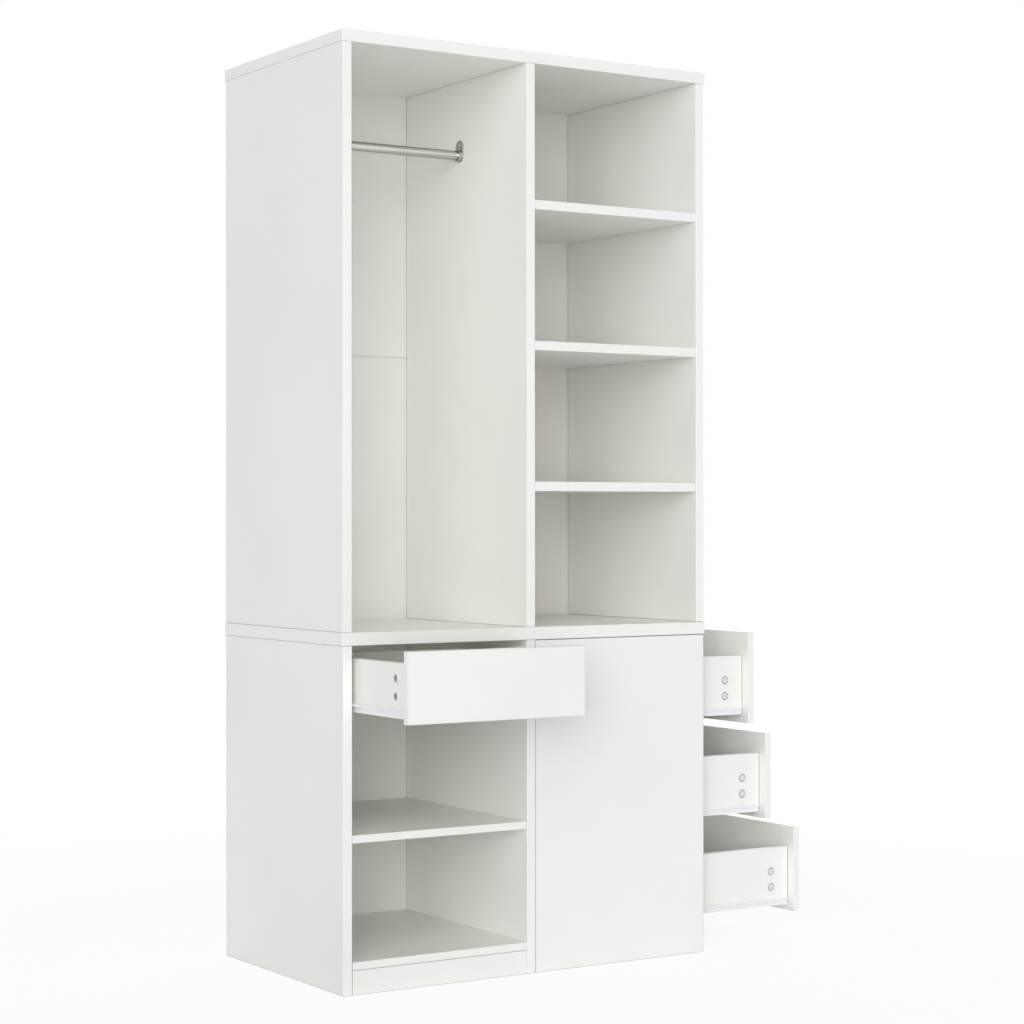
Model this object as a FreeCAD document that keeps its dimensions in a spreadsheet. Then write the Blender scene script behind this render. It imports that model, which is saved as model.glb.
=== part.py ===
import FreeCAD, Part
import os
import re
import Sketcher

# Open-front wardrobe, in millimetres.
# The carcass stands on the floor at z = 0, its front towards -Y and its footprint centred on the origin.
# The left half has a hanging bay over one drawer and two open cubbies.
# The right half has four shelf compartments over three drawers that pull out of the right side.

SIZES = [
    ("width", 840, "carcass, outside of the left side to outside of the right side"),
    ("depth", 495, "carcass, front edges to rear edges"),
    ("height", 1800, "floor to the top panel's upper face"),
    ("lip", 1.5, "top and middle panels beyond the carcass, all round"),
    ("ease", 0.8, "chamfer along every board edge"),
    ("top_t", 22.5, "top panel thickness"),
    ("middle_t", 24.5, "middle panel thickness"),
    ("board_t", 19.5, "sides, dividers and end panels"),
    ("shelf_t", 18.5, "upper shelves"),
    ("low_board_t", 15, "lower shelf, bottom boards and plinths"),
    ("left_bay_w", 388.5, "clear width of the left bay"),
    ("lower_h", 651.5, "floor to the middle panel's underside"),
    ("plinth_h", 46.5, "floor to the bottom boards' underside"),
    ("plinth_step", 6.5, "right bottom board's top above the side plinth"),
    ("cubby_h", 221, "clear height of the lowest cubby"),
    ("first_shelf_rise", 266, "middle panel to the lowest upper shelf's underside"),
    ("top_shelf_gap", 265.4, "highest upper shelf to the top panel"),
    ("shelf_setback", 2, "shelf edges behind the carcass front"),
    ("back_t", 3, "back sheets"),
    ("back_inset", 25.5, "rear edges to the back sheets' rear face"),
    ("groove_d", 6, "depth of the back sheets' grooves"),
    ("groove_play", 0.5, "sheet edge to the groove's floor"),
    ("groove_slack", 1, "back sheets' grooves, open in front of the sheet"),
    ("back_clear", 0.8, "rear edges of the divider, shelves and left bottom board to the back sheets"),
    ("rail_d", 18, "hanging rail, outside"),
    ("rail_wall", 1.2, "hanging rail tube wall"),
    ("rail_drop", 150.5, "top panel's underside to the rail's axis"),
    ("cup_wall", 2.45, "rail socket cup's wall round the rail"),
    ("socket_rim", 1.25, "rail socket plate beyond the cup"),
    ("socket_h", 44, "rail socket plate height"),
    ("socket_t", 3, "rail socket plate thickness"),
    ("socket_floor", 1.6, "metal between the rail's end and the board"),
    ("cup_depth", 10, "rail socket cup, board to mouth"),
    ("rail_play", 0.3, "rail to cup, on the radius"),
    ("socket_screw_drop", 10.5, "plate's upper end to its screw"),
    ("screw_head_r", 3, "countersunk screw head"),
    ("screw_r", 1.8, "screw shank"),
    ("screw_len", 17, "screw, head to end"),
    ("screw_play", 0.1, "screw in its holes, on the radius"),
    ("recess_r", 1.1, "driver recess in the head"),
    ("recess_d", 1, "driver recess depth"),
    ("dowel_r", 4, "shelf dowels"),
    ("dowel_len", 30, "shelf dowels, end to end"),
    ("dowel_in", 11, "dowel length inside the side or divider"),
    ("dowel_play", 0.1, "dowel in its bore, on the radius and at each end"),
    ("dowel_edge", 60, "shelf edge to its dowels"),
    ("reveal", 1.5, "gap round an inset drawer front"),
    ("front_t", 15, "drawer fronts"),
    ("front_a_h", 132, "front drawer's front height"),
    ("top_front_extra", 10.4, "top side drawer's front above the height of the other two"),
    ("finger_gap", 22.3, "gap between two side drawer fronts"),
    ("packer_t", 8, "strips between the end panels and the side drawers' tracks"),
    ("side_a_drop", 23, "front drawer: front's upper edge to the box's upper edge"),
    ("side_b_drop", 43.5, "the same on the two lower side drawers"),
    ("rise_a", 9.5, "front drawer: front's lower edge to the box's lower edge"),
    ("rise_b_top", 19, "the same on the top side drawer"),
    ("rise_b", 14.5, "the same on the two lower side drawers"),
    ("box_a_gap", 51.5, "closed front drawer's box to the back sheet"),
    ("box_b_gap", 47.5, "closed side drawers' boxes to the divider"),
    ("drawer_t", 13, "drawer sides and backs"),
    ("bottom_t", 4, "drawer bottom sheet"),
    ("bottom_rise", 12, "box's lower edge to the bottom sheet"),
    ("bottom_groove", 5, "depth of the bottom sheet's grooves"),
    ("pull_a_share", 0.50875, "front drawer as shown, out from closed, of its box length"),
    ("pull_top_share", 0.42, "top side drawer, the same"),
    ("pull_mid_share", 0.55, "middle side drawer, the same"),
    ("pull_low_share", 0.77, "bottom side drawer, the same"),
    ("cam_r", 7.5, "cam lock radius, also at its rim's outer face"),
    ("cam_rim_r", 8.6, "cam's rim where it lies on the drawer side"),
    ("cam_rim_t", 1, "cam's rim, proud of the drawer side"),
    ("cam_t", 10, "cam lock thickness"),
    ("cam_play", 0.1, "cam in its bore, on the radius"),
    ("cam_back", 46, "drawer front's inner face to the cams"),
    ("cam_rise", 38.5, "box's lower edge to the lower cam"),
    ("cam_pitch", 33, "lower cam to upper cam"),
    ("cam_slot_w", 1.6, "arms of the cam's cross recess"),
    ("cam_slot_len", 8.4, "cross recess, end to end"),
    ("cam_slot_d", 1.5, "cross recess depth"),
    ("runner_w", 12.5, "room for a runner between box and carcass"),
    ("steel_t", 1.2, "runner sheet steel"),
    ("slide_rise", 6.4, "track's lower face to the box's lower edge"),
    ("slide_over", 3.4, "track's upper face to the slide's upper face"),
    ("slide_side_play", 1.1, "slide's top flange to the track's web"),
    ("slide_lip", 1.8, "down-turned lip of the slide"),
    ("slide_foot", 9, "slide's foot under the box side"),
    ("slide_setback", 3, "drawer front to the slides"),
    ("track_setback", 5, "closed drawer front to the tracks"),
    ("track_in", 1.9, "box side to the track's lower lip"),
    ("track_lip_h", 4.2, "height of the track's lower lip"),
    ("track_top_in", 3.4, "box side to the track's upper flange"),
    ("notch_past", 3, "upper flange cut back beyond the front roller"),
    ("roller_r", 7.2, "runner rollers"),
    ("roller_rim_r", 5.9, "inside of a roller's rim"),
    ("roller_hub_r", 4.2, "raised hub inside the rim"),
    ("roller_dish", 1, "depth of the ring between hub and rim, each face"),
    ("roller_play", 0.3, "roller to the steel that it doesn't touch"),
    ("axle_r", 2.4, "roller axles"),
    ("axle_play", 0.06, "roller bore on its axle"),
    ("axle_head_r", 4, "axle shoulder and head"),
    ("axle_head_t", 0.9, "axle head thickness"),
    ("front_roller_in", 2.9, "box side to the front roller"),
    ("rear_roller_in", 3.4, "box side to the rear roller"),
    ("rear_head_play", 0.9, "rear axle's head to the track's web"),
    ("roller_end", 12, "roller axis to the end of its steel"),
    ("track_screw_end", 45, "track end to its first and last screw"),
]

doc = FreeCAD.newDocument("OpenFrontWardrobe")
sheet = doc.addObject("Spreadsheet::Sheet", "Sizes")
for row, (alias, value, note) in enumerate(SIZES, start=1):
    sheet.set(f"A{row}", note)
    sheet.set(f"B{row}", str(value))
    sheet.setAlias(f"B{row}", alias)
doc.recompute()

ALIASES = {alias for alias, value, note in SIZES}
X_AXIS = FreeCAD.Vector(1, 0, 0)
Y_AXIS = FreeCAD.Vector(0, 1, 0)
Z_AXIS = FreeCAD.Vector(0, 0, 1)
QUARTER_TURN = 90
HALF_TURN = 180

# Derived places, as expressions on the sheet, from the carcass's front left bottom corner.
UPPER_Z = "(lower_h + middle_t)"
TOP_Z = "(height - top_t)"
DIVIDER_X = "(board_t + left_bay_w)"
RIGHT_BAY_X = "(left_bay_w + 2 * board_t)"
RIGHT_SIDE_X = "(width - board_t)"
RIGHT_BAY_W = f"({RIGHT_SIDE_X} - {RIGHT_BAY_X})"
BACK_Y = "(depth - back_inset - back_t)"
REAR_PANEL_Y = "(depth - board_t)"
GROOVE_Y = f"({BACK_Y} - groove_slack)"
GROOVE_T = "(back_t + groove_slack)"
TONGUE = "(groove_d - groove_play)"
BEHIND_Y = f"({BACK_Y} - back_clear)"
BOTTOM_TOP_Z = "(plinth_h + low_board_t)"
LOW_SHELF_Z = f"({BOTTOM_TOP_Z} + cubby_h)"
SHELF_PITCH = f"(({TOP_Z} - {UPPER_Z} - first_shelf_rise - top_shelf_gap - shelf_t) / 2)"
SEAM_Z = f"({UPPER_Z} + first_shelf_rise + {SHELF_PITCH} + shelf_t / 2)"
SIDE_PLINTH_H = f"({BOTTOM_TOP_Z} - plinth_step)"
RAIL_Z = f"({TOP_Z} - rail_drop)"
RAIL_Y = "(depth / 2)"
CUP_R = "(rail_d / 2 + rail_play + cup_wall)"
SOCKET_R = f"({CUP_R} + socket_rim)"
SOCKET_SCREW_UP = f"(socket_h - {SOCKET_R} - socket_screw_drop)"
SCREW_BORE_R = "(screw_r + screw_play)"
HEAD_H = "(screw_head_r - screw_r)"
TRACK_H = "(2 * (steel_t + roller_r + roller_play))"
SLIDE_TOP = f"({TRACK_H} + slide_over)"
SLIDE_W = "(runner_w - steel_t - slide_side_play)"
ROLLER_T = "(runner_w - steel_t - rear_head_play - axle_head_t - roller_play - rear_roller_in)"
OVERHANG_A = "(runner_w - reveal)"
OVERHANG_B = "(packer_t + runner_w - reveal)"
SIDE_A_H = "(front_a_h - rise_a - side_a_drop)"
BOX_A_LEN = f"({BACK_Y} - front_t - box_a_gap)"
SIDE_FRONTS_H = f"(lower_h - {SIDE_PLINTH_H} - 2 * reveal - 2 * finger_gap)"
FRONT_B_H = f"(({SIDE_FRONTS_H} - top_front_extra) / 3)"
SIDE_B_H = f"({FRONT_B_H} - rise_b - side_b_drop)"
BOX_B_LEN = f"(width - {RIGHT_BAY_X} - front_t - box_b_gap)"


def sized(text):
    """Put the sheet's name before each of its aliases in an expression."""
    return re.sub(r"[a-z_]+", lambda found: "Sizes." + found[0] if found[0] in ALIASES else found[0], text)


def bind(obj, path, text):
    obj.setExpression(path, sized(text))


class Frame:
    """A local frame: its origin from the carcass corner, and whether it faces the right side."""

    def __init__(self, at=("0", "0", "0"), turned=False):
        self.at = at
        self.turned = turned


CARCASS = Frame()
CORNER = ("(0 - width / 2)", "(0 - depth / 2)", "0")


def place(obj, frame, at=("0", "0", "0"), rotation=FreeCAD.Rotation()):
    """Place an object by its own origin in a frame. A turned frame has X along the carcass depth."""
    across, inward, up = at
    if frame.turned:
        across, inward = f"(0 - {inward})", across
    local = (across, inward, up)
    turn = FreeCAD.Rotation(Z_AXIS, QUARTER_TURN if frame.turned else 0)
    obj.Placement = FreeCAD.Placement(FreeCAD.Vector(), turn.multiply(rotation))
    for axis, corner, start, step in zip("xyz", CORNER, frame.at, local):
        bind(obj, f"Placement.Base.{axis}", f"{corner} + {start} + {step}")
    return obj


# Sketches and features of one body.

def new_body(label):
    body = doc.addObject("PartDesign::Body", label)
    body.Label = label
    return body


def new_sketch(body, role, lift="0"):
    """A sketch on one of the body's own origin planes, lifted along that plane's normal."""
    sketch = body.newObject("Sketcher::SketchObject", "Sketch")
    plane = [feature for feature in body.Origin.OriginFeatures if feature.Role == role][0]
    sketch.AttachmentSupport = (plane, [""])
    sketch.MapMode = "FlatFace"
    bind(sketch, "AttachmentOffset.Base.z", lift)
    return sketch


def draw_outline(sketch, points):
    """A closed outline of straight lines whose corners are bound to pairs of expressions."""
    count = len(points)
    first = sketch.GeometryCount
    start = [FreeCAD.Vector(index, index * index, 0) for index in range(count)]
    for index in range(count):
        sketch.addGeometry(Part.LineSegment(start[index], start[(index + 1) % count]))
    for index in range(count):
        following = (index + 1) % count
        sketch.addConstraint(Sketcher.Constraint("Coincident", first + index, 2, first + following, 1))
    for index, pair in enumerate(points):
        for kind, text in zip(("DistanceX", "DistanceY"), pair):
            number = sketch.addConstraint(Sketcher.Constraint(kind, -1, 1, first + index, 1, 0.0))
            bind(sketch, f"Constraints[{number}]", text)


def draw_box(sketch, x, y, dx, dy):
    right = f"({x} + {dx})"
    rear = f"({y} + {dy})"
    draw_outline(sketch, [(x, y), (right, y), (right, rear), (x, rear)])


def draw_circle(sketch, x, y, radius):
    first = sketch.addGeometry(Part.Circle(FreeCAD.Vector(), Z_AXIS, 1))
    for kind, text in (("DistanceX", x), ("DistanceY", y)):
        number = sketch.addConstraint(Sketcher.Constraint(kind, -1, 1, first, 3, 0.0))
        bind(sketch, f"Constraints[{number}]", text)
    number = sketch.addConstraint(Sketcher.Constraint("Radius", first, 1.0))
    bind(sketch, f"Constraints[{number}]", radius)


def pad(body, sketch, length, reverse=False):
    feature = body.newObject("PartDesign::Pad", "Pad")
    feature.Profile = sketch
    feature.Reversed = reverse
    bind(feature, "Length", length)
    sketch.Visibility = False
    return feature


def pocket(body, sketch, depth, reverse=True):
    """Cut away from the sketch along its plane's normal, unless reverse is off."""
    feature = body.newObject("PartDesign::Pocket", "Pocket")
    feature.Profile = sketch
    feature.Reversed = reverse
    bind(feature, "Length", depth)
    sketch.Visibility = False
    return feature


def cut_box(body, at, size):
    x, y, z = at
    dx, dy, dz = size
    sketch = new_sketch(body, "XY_Plane", z)
    draw_box(sketch, x, y, dx, dy)
    pocket(body, sketch, dz)


def round_feature(body, kind, at, axis, height, radii):
    """A cylinder or cone primitive of the body, along X, Y or Z from its start point."""
    feature = body.newObject(f"PartDesign::{kind}", kind)
    turns = {"X": FreeCAD.Rotation(Y_AXIS, QUARTER_TURN), "Z": FreeCAD.Rotation()}
    turns["Y"] = FreeCAD.Rotation(X_AXIS, -QUARTER_TURN)
    feature.Placement = FreeCAD.Placement(FreeCAD.Vector(), turns[axis])
    for name, text in zip("xyz", at):
        bind(feature, f"Placement.Base.{name}", text)
    bind(feature, "Height", height)
    names = ("Radius",) if len(radii) == 1 else ("Radius1", "Radius2")
    for name, text in zip(names, radii):
        bind(feature, name, text)
    return feature


def cut_bore(body, at, axis, depth, radius):
    round_feature(body, "SubtractiveCylinder", at, axis, depth, [radius])


def new_board(label, size, eased=True):
    """A flat board from its own corner, with every edge eased."""
    body = new_body(label)
    dx, dy, dz = size
    sketch = new_sketch(body, "XY_Plane")
    draw_box(sketch, "0", "0", dx, dy)
    block = pad(body, sketch, dz)
    if eased:
        doc.recompute()
        chamfer = body.newObject("PartDesign::Chamfer", "Ease")
        chamfer.Base = (block, [f"Edge{number + 1}" for number in range(len(block.Shape.Edges))])
        bind(chamfer, "Size", "ease")
    return body


nodes = []


def keep(obj):
    nodes.append(obj)
    return obj


def board(label, at, size, eased=True, frame=CARCASS):
    return keep(place(new_board(label, size, eased), frame, at))


def link(source, frame, at, rotation=FreeCAD.Rotation()):
    """One more copy of a piece, placed by its own origin."""
    copy = doc.addObject("App::Link", source.Label + "_copy")
    copy.LinkedObject = source
    copy.LinkTransform = False
    return place(copy, frame, at, rotation)


def group(label, members):
    """Several separate solids that share one named part."""
    compound = doc.addObject("Part::Compound", label)
    compound.Label = label
    compound.Links = members
    return keep(compound)


# Carcass boards.

def cut_back_groove(body, x):
    """The upright groove that holds a back sheet, full height of a side or divider."""
    cut_box(body, (x, GROOVE_Y, "0"), ("groove_d", GROOVE_T, "height"))


def cut_dowel_bore(body, at, depth):
    cut_bore(body, at, "X", depth, "(dowel_r + dowel_play)")


def shelf_bottoms():
    """Undersides of the upper shelves, lowest first, above the middle panel."""
    return [f"(first_shelf_rise + {step} * {SHELF_PITCH})" for step in range(3)]


def dowel_rows(depth_text):
    """The two dowel places along a shelf's end, from its front edge."""
    return ["dowel_edge", f"({depth_text} - dowel_edge)"]


def cut_screw_bore(body, at, axis, passed, from_end=None):
    """A bore for a mounting screw that has passed through some other pieces before the board.

    It starts on the board's low face, or ends on its high face where that one's place is given."""
    deep = f"(screw_len + screw_play - {passed})"
    place_x, place_y, place_z = at
    if from_end and axis == "X":
        place_x = f"({from_end} - {deep})"
    if from_end and axis == "Y":
        place_y = f"({from_end} - {deep})"
    cut_bore(body, (place_x, place_y, place_z), axis, deep, SCREW_BORE_R)


UPPER_SHELF_D = f"({BEHIND_Y} - shelf_setback)"
BORE_IN = "(dowel_in + dowel_play)"
BORE_OUT = "(dowel_len - dowel_in + dowel_play)"


def make_panels():
    wide = "(width + 2 * lip)"
    deep = "(depth + 2 * lip)"
    groove_x = "(lip + board_t - groove_d)"
    groove_w = "(width - 2 * (board_t - groove_d))"
    groove_y = f"(lip + {GROOVE_Y})"
    top = board("top_panel", ("(0 - lip)", "(0 - lip)", TOP_Z), (wide, deep, "top_t"))
    cut_box(top, (groove_x, groove_y, "0"), (groove_w, GROOVE_T, "groove_d"))
    middle = board("middle_panel", ("(0 - lip)", "(0 - lip)", "lower_h"), (wide, deep, "middle_t"))
    cut_box(middle, (groove_x, groove_y, "(middle_t - groove_d)"), (groove_w, GROOVE_T, "groove_d"))
    low_w = "(left_bay_w + 2 * groove_d)"
    cut_box(middle, (groove_x, groove_y, "0"), (low_w, GROOVE_T, "groove_d"))


def make_upper_carcass():
    tall = f"({TOP_Z} - {UPPER_Z})"
    side = ("board_t", "depth", tall)
    left = board("left_side_upper", ("0", "0", UPPER_Z), side)
    cut_back_groove(left, "(board_t - groove_d)")
    right = board("right_side_upper", (RIGHT_SIDE_X, "0", UPPER_Z), side)
    cut_back_groove(right, "0")
    divider = board("divider_upper", (DIVIDER_X, "0", UPPER_Z), ("board_t", BEHIND_Y, tall))
    for number, bottom in enumerate(shelf_bottoms(), start=1):
        size = (RIGHT_BAY_W, UPPER_SHELF_D, "shelf_t")
        at = (RIGHT_BAY_X, "shelf_setback", f"({UPPER_Z} + {bottom})")
        shelf = board(f"upper_shelf_{number}", at, size)
        middle = f"({bottom} + shelf_t / 2)"
        for y in dowel_rows(UPPER_SHELF_D):
            cut_dowel_bore(shelf, ("0", y, "shelf_t / 2"), BORE_OUT)
            cut_dowel_bore(shelf, (f"({RIGHT_BAY_W} - {BORE_OUT})", y, "shelf_t / 2"), BORE_OUT)
            side_y = f"({y} + shelf_setback)"
            cut_dowel_bore(divider, (f"(board_t - {BORE_IN})", side_y, middle), BORE_IN)
            cut_dowel_bore(right, ("0", side_y, middle), BORE_IN)
    screw_up = f"({RAIL_Z} + {SOCKET_SCREW_UP} - {UPPER_Z})"
    cut_screw_bore(left, ("0", RAIL_Y, screw_up), "X", "socket_t", from_end="board_t")
    cut_screw_bore(divider, ("0", RAIL_Y, screw_up), "X", "socket_t")


def make_lower_carcass(drawers):
    left = board("left_side_lower", ("0", "0", "0"), ("board_t", "depth", "lower_h"))
    cut_back_groove(left, "(board_t - groove_d)")
    divider = board("divider_lower", (DIVIDER_X, "0", "0"), ("board_t", "depth", "lower_h"))
    cut_back_groove(divider, "0")
    end_w = f"(width - {RIGHT_BAY_X})"
    front = board("end_panel_front", (RIGHT_BAY_X, "0", "0"), (end_w, "board_t", "lower_h"))
    rear = board("end_panel_rear", (RIGHT_BAY_X, REAR_PANEL_Y, "0"), (end_w, "board_t", "lower_h"))
    board("bottom_board_left", ("board_t", "0", "plinth_h"), ("left_bay_w", BEHIND_Y, "low_board_t"))
    right_d = f"({REAR_PANEL_Y} - board_t)"
    right_w = "(width - low_board_t - left_bay_w - 2 * board_t)"
    board("bottom_board_right", (RIGHT_BAY_X, "board_t", "plinth_h"), (right_w, right_d, "low_board_t"))
    board("plinth_front", ("board_t", "0", "0"), ("left_bay_w", "low_board_t", "plinth_h"))
    plinth_x = "(width - low_board_t)"
    board("plinth_side", (plinth_x, "board_t", "0"), ("low_board_t", right_d, SIDE_PLINTH_H))
    shelf_d = f"({BEHIND_Y} - shelf_setback)"
    size = ("left_bay_w", shelf_d, "low_board_t")
    shelf = board("lower_shelf", ("board_t", "shelf_setback", LOW_SHELF_Z), size)
    middle = f"({LOW_SHELF_Z} + low_board_t / 2)"
    for y in dowel_rows(shelf_d):
        cut_dowel_bore(shelf, ("0", y, "low_board_t / 2"), BORE_OUT)
        cut_dowel_bore(shelf, (f"(left_bay_w - {BORE_OUT})", y, "low_board_t / 2"), BORE_OUT)
        side_y = f"({y} + shelf_setback)"
        cut_dowel_bore(left, (f"(board_t - {BORE_IN})", side_y, middle), BORE_IN)
        cut_dowel_bore(divider, ("0", side_y, middle), BORE_IN)
    for drawer in drawers:
        for inward, up in track_screws(drawer):
            if drawer.closed.turned:
                x = f"({end_w} - {inward})"
                cut_screw_bore(front, (x, "0", up), "Y", "(steel_t + packer_t)", from_end="board_t")
                cut_screw_bore(rear, (x, "0", up), "Y", "(steel_t + packer_t)")
            else:
                cut_screw_bore(left, ("0", inward, up), "X", "steel_t", from_end="board_t")
                cut_screw_bore(divider, ("0", inward, up), "X", "steel_t")


def make_back_sheets():
    """Upper back in two sheets that meet behind a shelf, and one sheet behind the left cubbies."""
    x = f"(board_t - {TONGUE})"
    wide = f"(width - 2 * board_t + 2 * {TONGUE})"
    low_z = f"({UPPER_Z} - {TONGUE})"
    top_z = f"({TOP_Z} + {TONGUE})"
    size = (wide, "back_t", f"({SEAM_Z} - {low_z})")
    board("back_sheet_middle", (x, BACK_Y, low_z), size)
    size = (wide, "back_t", f"({top_z} - {SEAM_Z})")
    board("back_sheet_top", (x, BACK_Y, SEAM_Z), size)
    size = (f"(left_bay_w + 2 * {TONGUE})", "back_t", f"(lower_h + {TONGUE} - plinth_h)")
    board("back_sheet_lower", (x, BACK_Y, "plinth_h"), size)


def make_dowels():
    """Hidden dowels at the shelf ends."""
    dowel = new_body("shelf_dowel")
    round_feature(dowel, "AdditiveCylinder", ("0", "0", "0"), "X", "dowel_len", ["dowel_r"])
    copies = []
    into = "(dowel_len - dowel_in)"
    for bottom in shelf_bottoms():
        middle = f"({UPPER_Z} + {bottom} + shelf_t / 2)"
        for y in dowel_rows(UPPER_SHELF_D):
            for x in (f"({RIGHT_BAY_X} - dowel_in)", f"({RIGHT_SIDE_X} - {into})"):
                copies.append(link(dowel, CARCASS, (x, f"({y} + shelf_setback)", middle)))
    middle = f"({LOW_SHELF_Z} + low_board_t / 2)"
    for y in dowel_rows(UPPER_SHELF_D):
        for x in ("(board_t - dowel_in)", f"({DIVIDER_X} - {into})"):
            copies.append(link(dowel, CARCASS, (x, f"({y} + shelf_setback)", middle)))
    group("shelf_dowels", copies)


# Hanging rail.

def make_rail():
    rail = new_body("hanging_rail")
    sketch = new_sketch(rail, "YZ_Plane")
    draw_circle(sketch, "0", "0", "(rail_d / 2)")
    draw_circle(sketch, "0", "0", "(rail_d / 2 - rail_wall)")
    pad(rail, sketch, "(left_bay_w - 2 * socket_floor)")
    keep(place(rail, CARCASS, ("(board_t + socket_floor)", RAIL_Y, RAIL_Z)))


COUNTERSINK = [SCREW_BORE_R, "(screw_head_r + screw_play)"]


def new_socket(label):
    """A round-ended plate with a cup for the rail. Its back is on X = 0 and the cup opens towards +X."""
    socket = new_body(label)
    rise = f"(socket_h - 2 * {SOCKET_R})"
    sketch = new_sketch(socket, "YZ_Plane")
    draw_box(sketch, f"(0 - {SOCKET_R})", "0", f"(2 * {SOCKET_R})", rise)
    pad(socket, sketch, "socket_t")
    for up in ("0", rise):
        round_feature(socket, "AdditiveCylinder", ("0", "0", up), "X", "socket_t", [SOCKET_R])
    round_feature(socket, "AdditiveCylinder", ("0", "0", "0"), "X", "cup_depth", [CUP_R])
    cut_bore(socket, ("socket_floor", "0", "0"), "X", "cup_depth", "(rail_d / 2 + rail_play)")
    cut_bore(socket, ("0", "0", SOCKET_SCREW_UP), "X", "socket_t", SCREW_BORE_R)
    at = (f"(socket_t - {HEAD_H})", "0", SOCKET_SCREW_UP)
    round_feature(socket, "SubtractiveCone", at, "X", HEAD_H, COUNTERSINK)
    return socket


def new_screw():
    """A countersunk screw along +X, its head's rim on X = 0 and its end on the -X side."""
    screw = new_body("countersunk_screw")
    shank = ("(0 - screw_len)", "0", "0")
    round_feature(screw, "AdditiveCylinder", shank, "X", "screw_len", ["screw_r"])
    head = (f"(0 - {HEAD_H})", "0", "0")
    round_feature(screw, "AdditiveCone", head, "X", HEAD_H, ["screw_r", "screw_head_r"])
    cut_bore(screw, ("(0 - recess_d)", "0", "0"), "X", "recess_d", "recess_r")
    return screw


TURN_BACK = FreeCAD.Rotation(Z_AXIS, HALF_TURN)


def make_rail_sockets(screw):
    """Both sockets. Returns their screws."""
    socket = new_socket("rail_socket")
    left = link(socket, CARCASS, ("board_t", RAIL_Y, RAIL_Z))
    right = link(socket, CARCASS, (DIVIDER_X, RAIL_Y, RAIL_Z), TURN_BACK)
    group("rail_sockets", [left, right])
    screw_z = f"({RAIL_Z} + {SOCKET_SCREW_UP})"
    left = link(screw, CARCASS, ("(board_t + socket_t)", RAIL_Y, screw_z))
    right = link(screw, CARCASS, (f"({DIVIDER_X} - socket_t)", RAIL_Y, screw_z), TURN_BACK)
    return [left, right]


# Drawer boxes. A drawer's frame starts at its front's outer lower left corner, X across, Y inward, Z up.

class Drawer:
    """One drawer: its name, its frames closed and as shown, and its own sizes."""

    def __init__(self, name, turned, closed, pull_share, front_w, front_h, overhang, rise, side_h, length):
        x, y, z = closed
        pull = f"({pull_share} * {length})"
        shown = (f"({x} + {pull})", y, z) if turned else (x, f"({y} - {pull})", z)
        self.name = name
        self.closed = Frame(closed, turned)
        self.shown = Frame(shown, turned)
        self.front_w = front_w
        self.front_h = front_h
        self.overhang = overhang
        self.rise = rise
        self.side_h = side_h
        self.length = length


def front_drawer():
    x = "(board_t + reveal)"
    z = "(lower_h - reveal - front_a_h)"
    front_w = "(left_bay_w - 2 * reveal)"
    return Drawer("front_drawer", False, (x, "0", z), "pull_a_share", front_w, "front_a_h",
                  OVERHANG_A, "rise_a", SIDE_A_H, BOX_A_LEN)


def side_drawers():
    """Bottom, middle and top drawers of the right side."""
    y = "(board_t + reveal)"
    front_w = f"({REAR_PANEL_Y} - board_t - 2 * reveal)"
    low_z = f"({SIDE_PLINTH_H} + reveal)"
    mid_z = f"({low_z} + {FRONT_B_H} + finger_gap)"
    top_z = f"({mid_z} + {FRONT_B_H} + finger_gap)"
    top_h = f"({FRONT_B_H} + top_front_extra)"
    rows = [
        ("low", low_z, FRONT_B_H, "rise_b"),
        ("mid", mid_z, FRONT_B_H, "rise_b"),
        ("top", top_z, top_h, "rise_b_top"),
    ]
    drawers = []
    for name, z, front_h, rise in rows:
        drawers.append(Drawer(f"side_drawer_{name}", True, ("width", y, z), f"pull_{name}_share", front_w,
                              front_h, OVERHANG_B, rise, SIDE_B_H, BOX_B_LEN))
    return drawers


def make_drawer_front(drawer):
    front = board(f"{drawer.name}_front", ("0", "0", "0"), (drawer.front_w, "front_t", drawer.front_h),
                  frame=drawer.shown)
    inset = f"({drawer.overhang} + drawer_t - bottom_groove)"
    at = (inset, "(front_t - bottom_groove)", f"({drawer.rise} + bottom_rise)")
    cut_box(front, at, (f"({drawer.front_w} - 2 * {inset})", "bottom_groove", "bottom_t"))


def make_drawer_sides(drawer):
    """Left and right sides, each with a bottom groove inside and two cam bores outside."""
    sides = []
    far_x = f"({drawer.front_w} - {drawer.overhang} - drawer_t)"
    places = (("left", drawer.overhang, "(drawer_t - bottom_groove)", "0"),
              ("right", far_x, "0", "(drawer_t - cam_t)"))
    for hand, x, groove_x, bore_x in places:
        side = new_board(f"{drawer.name}_side_{hand}", ("drawer_t", drawer.length, drawer.side_h))
        cut_box(side, (groove_x, "0", "bottom_rise"), ("bottom_groove", drawer.length, "bottom_t"))
        for step in range(2):
            at = (bore_x, "cam_back", f"(cam_rise + {step} * cam_pitch)")
            cut_bore(side, at, "X", "cam_t", "(cam_r + cam_play)")
        sides.append(place(side, drawer.shown, (x, "front_t", drawer.rise)))
    group(f"{drawer.name}_sides", sides)


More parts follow.
